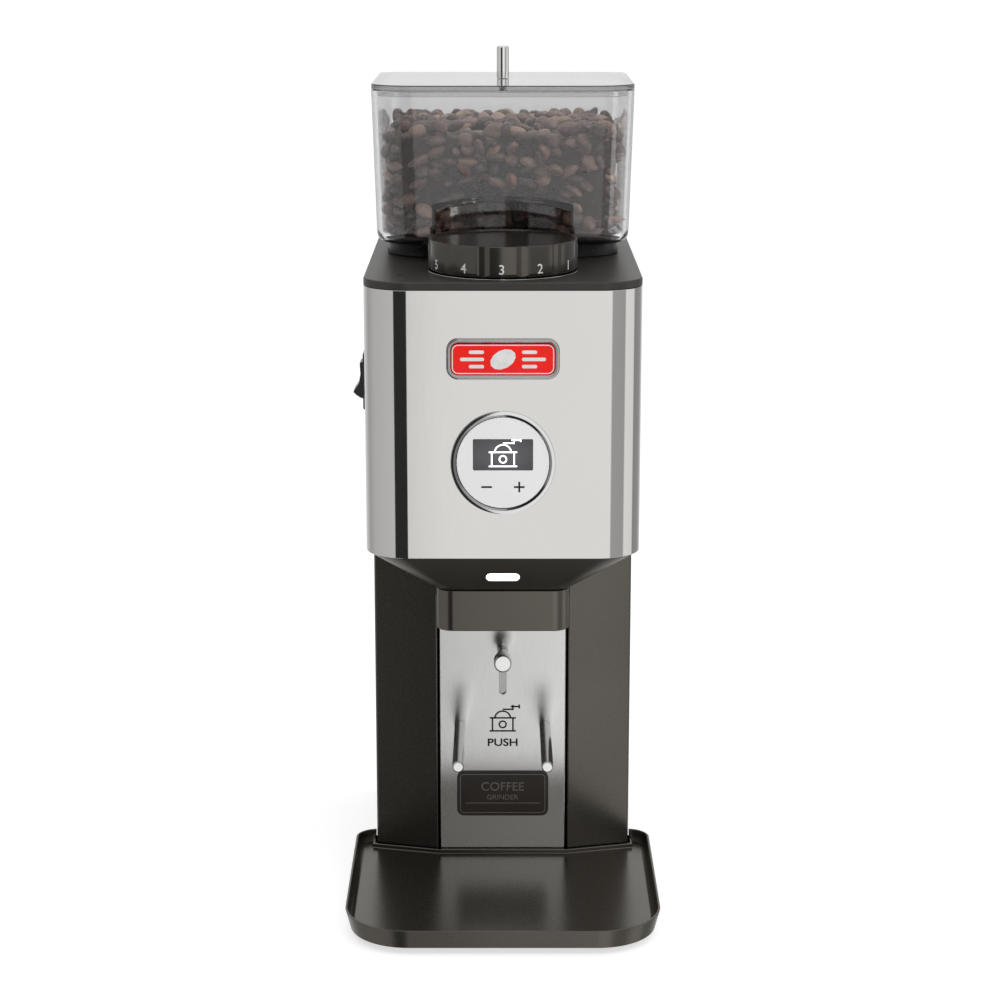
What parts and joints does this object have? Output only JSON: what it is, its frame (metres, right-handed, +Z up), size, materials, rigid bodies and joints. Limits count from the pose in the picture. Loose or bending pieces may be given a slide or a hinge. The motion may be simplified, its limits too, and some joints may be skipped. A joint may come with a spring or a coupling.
{
  "type": "burr coffee grinder",
  "caption": "Upright burr coffee grinder with smoked bean hopper, grind dial, portafilter fork on a push plate and a pull-out ground tray.",
  "frame": {"origin": "centre of the bounding box at the bottom of the rubber feet", "axes": "+Z up, -Y towards the user, +X to the user's right"},
  "size_m": [0.15, 0.23, 0.4098],
  "materials": {
    "dark_paint": "satin",
    "dark_plastic": "satin",
    "black_plastic": "satin",
    "polished_steel": "polished",
    "bright_metal": "polished",
    "plain_steel": "machined",
    "cast_metal": "cast",
    "brass": "machined",
    "winding": "enamelled",
    "rubber": "matt",
    "smoked_clear": "clear",
    "beans": "natural",
    "pale_face": "satin",
    "screen": "gloss",
    "red_inlay": "gloss",
    "lamp": "lit",
    "board": "matt"
  },
  "bodies": {
    "stand": {"base_plate": "plain_steel", "column_shell": "dark_paint", "plate_spring": "plain_steel", "plate_microswitch": "black_plastic", "nose_cover": "dark_paint", "chin_fascia": "dark_plastic", "status_lens": "lamp", "chute": "plain_steel", "body_casing": "polished_steel", "top_cap": "dark_plastic", "rear_cover": "dark_paint", "mains_inlet": "black_plastic", "switch_housing": "black_plastic", "display_bezel": "bright_metal", "display_face": "pale_face", "display_screen": "screen", "display_board": "board", "badge_frame": "bright_metal", "badge_inlay": "red_inlay", "control_board": "board", "run_capacitor": "black_plastic", "motor_can": "plain_steel", "motor_stator": "winding", "lower_bearing": "plain_steel", "upper_bearing": "plain_steel", "motor_bracket": "cast_metal", "burr_chamber": "cast_metal", "pinion_post": "cast_metal", "hopper_seat": "black_plastic", "foot_front_left": "rubber", "foot_rear_left": "rubber", "foot_front_right": "rubber", "foot_rear_right": "rubber", "rear_screw_1": "plain_steel", "rear_screw_2": "plain_steel", "rear_screw_3": "plain_steel", "rear_screw_4": "plain_steel"},
    "tray": {"ground_tray": "dark_paint"},
    "plate": {"push_plate": "polished_steel", "nameplate": "black_plastic", "fork_pin_left": "bright_metal", "fork_pin_right": "bright_metal", "fork_nut_left": "plain_steel", "fork_nut_right": "plain_steel"},
    "hook": {"hook_peg": "bright_metal", "hook_nut": "plain_steel"},
    "dial": {"grind_dial": "dark_plastic", "dial_pinion": "brass"},
    "collar": {"adjusting_ring": "cast_metal", "upper_burr_carrier": "brass", "upper_burr": "plain_steel"},
    "rotor": {"motor_rotor": "plain_steel", "motor_fan": "black_plastic", "lower_burr_carrier": "cast_metal", "lower_burr": "plain_steel"},
    "hopper": {"hopper": "smoked_clear", "coffee_beans": "beans"},
    "lid": {"hopper_lid": "smoked_clear", "lid_pin": "bright_metal"},
    "rocker": {"switch_paddle": "black_plastic"}
  },
  "joints": [
    {"name": "tray_slide", "type": "slide", "parent": "stand", "child": "tray", "axis": [0, -1, 0], "range_m": [0, 0.14]},
    {"name": "plate_push", "type": "slide", "parent": "stand", "child": "plate", "axis": [0, 1, 0], "range_m": [0, 0.0025], "stiffness_N_per_m": 400, "springref_m": -0.003, "deforming": ["plate_spring"]},
    {"name": "hook_slide", "type": "slide", "parent": "plate", "child": "hook", "axis": [0, 0, 1], "range_m": [-0.02, 0]},
    {"name": "dial_turn", "type": "hinge", "parent": "stand", "child": "dial", "pos_m": [0, -0.03821, 0.31], "axis": [0, 0, 1], "range_deg": [-60, 60]},
    {"name": "collar_turn", "type": "hinge", "parent": "stand", "child": "collar", "pos_m": [0, 0.045, 0.29], "axis": [0, 0, 1], "range_deg": [-36, 36]},
    {"name": "rotor_spin", "type": "hinge", "parent": "stand", "child": "rotor", "pos_m": [0, 0.045, 0.2], "axis": [0, 0, 1], "continuous": true},
    {"name": "hopper_lift", "type": "slide", "parent": "stand", "child": "hopper", "axis": [0, 0, 1], "range_m": [0, 0.06]},
    {"name": "lid_lift", "type": "slide", "parent": "hopper", "child": "lid", "axis": [0, 0, 1], "range_m": [0, 0.04]},
    {"name": "switch_rock", "type": "hinge", "parent": "stand", "child": "rocker", "pos_m": [-0.0636, -0.027, 0.257], "axis": [0, -1, 0], "range_deg": [0, 26]}
  ],
  "couplings": [
    {"joint": "collar_turn", "follows": "dial_turn", "ratio": -0.58333}
  ]
}
